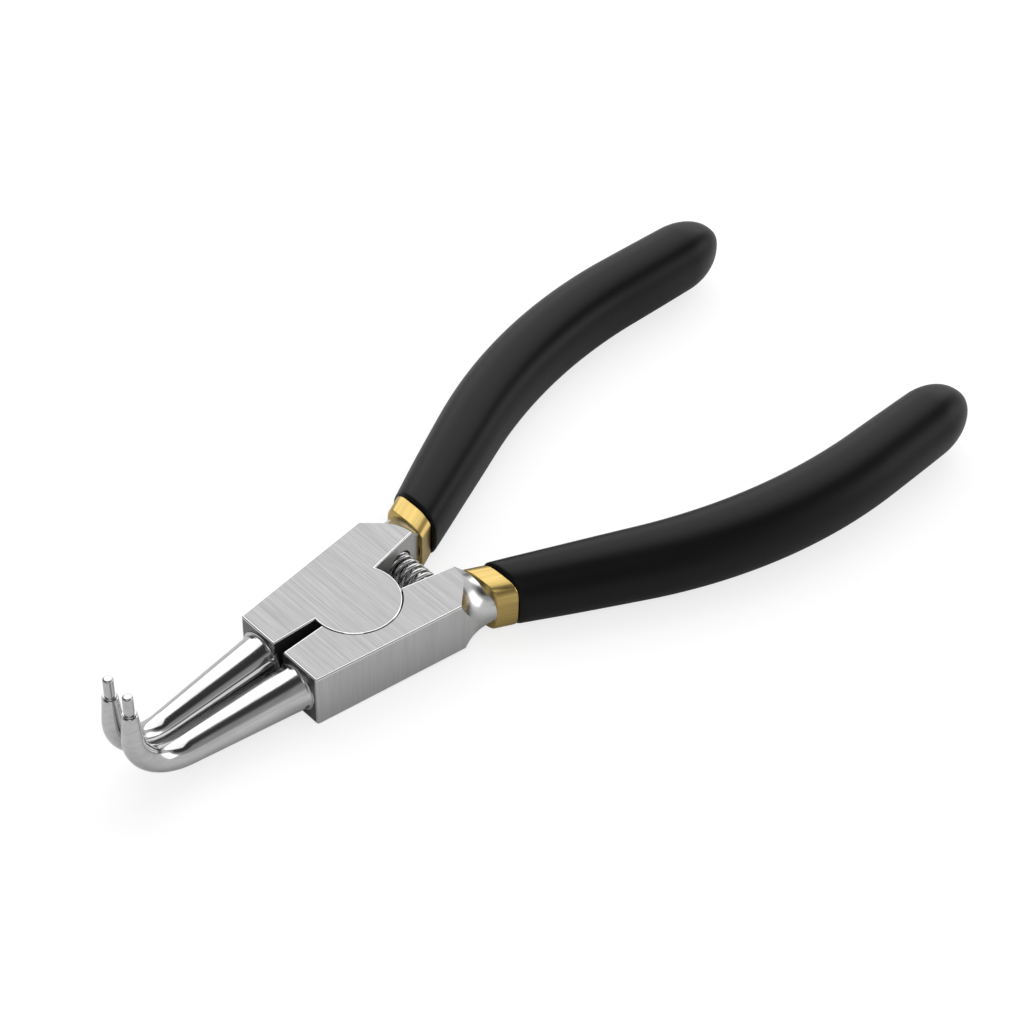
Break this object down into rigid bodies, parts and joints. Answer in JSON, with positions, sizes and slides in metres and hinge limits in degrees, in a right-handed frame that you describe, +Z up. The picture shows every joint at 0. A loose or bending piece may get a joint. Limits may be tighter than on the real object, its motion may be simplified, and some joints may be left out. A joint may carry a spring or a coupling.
{
  "type": "circlip pliers",
  "caption": "External circlip pliers: lap-jointed steel halves on a rivet, round noses bent up to slim tip pins, a coil spring between the shoulders, gilt collars and dipped black grips.",
  "frame": {"origin": "on the rivet's axis, level with the flat underside of the block", "axes": "+Z up along the rivet, away from the countersunk head; +X towards the handles; +Y towards the right half"},
  "size_m": [0.1737, 0.0796, 0.028],
  "materials": {
    "steel": "brushed on the flat faces, polished on the noses and necks",
    "spring_steel": "bright drawn wire",
    "pin_steel": "ground",
    "brass": "brushed, lacquered",
    "vinyl": "satin"
  },
  "bodies": {
    "left_side": {"left_half": "steel", "left_tip_pin": "pin_steel", "left_collar": "brass", "left_grip": "vinyl", "return_spring": "spring_steel"},
    "right_side": {"right_half": "steel", "pivot_rivet": "steel", "right_tip_pin": "pin_steel", "right_collar": "brass", "right_grip": "vinyl"}
  },
  "joints": [
    {"name": "pivot", "type": "hinge", "parent": "left_side", "child": "right_side", "pos_m": [0, 0, 0], "axis": [0, 0, -1], "range_deg": [0, 20], "stiffness_Nm_per_rad": 1.5, "springref_deg": -11.46, "deforming": ["return_spring"]}
  ]
}
